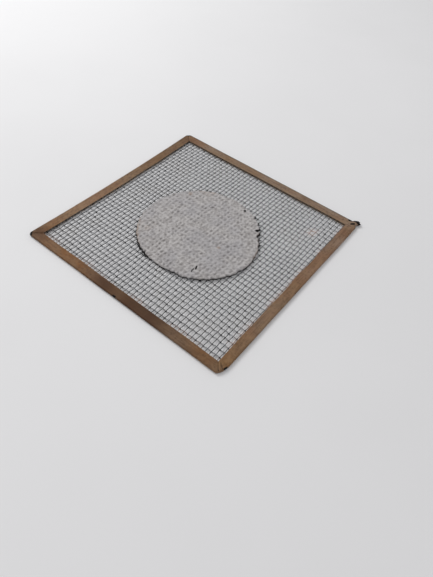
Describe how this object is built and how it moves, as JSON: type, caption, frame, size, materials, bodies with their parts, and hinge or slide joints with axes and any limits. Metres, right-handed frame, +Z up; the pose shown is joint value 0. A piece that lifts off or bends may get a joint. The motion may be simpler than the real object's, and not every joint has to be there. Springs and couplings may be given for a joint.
{
  "type": "wire gauze",
  "caption": "Square of woven wire cloth in a folded sheet-metal binding, with a round ceramic pad pressed through its middle. It spreads a flame's heat under a vessel.",
  "frame": {"origin": "centre of the square, on the plane of the binding's underside, where it rests", "axes": "+Z up out of the face that carries the vessel, +X and +Y along the two sets of wires; the strip's crumpled end is at the +X+Y corner"},
  "size_m": [0.1516, 0.1516, 0.0023],
  "materials": {
    "heat_tinted_strip": "satin",
    "oxidised_wire": "satin",
    "fired_ceramic": "matte"
  },
  "bodies": {
    "root": {"edge_binding": "heat_tinted_strip", "warp_wires": "oxidised_wire", "weft_wires": "oxidised_wire", "ceramic_pad": "fired_ceramic"}
  },
  "joints": []
}
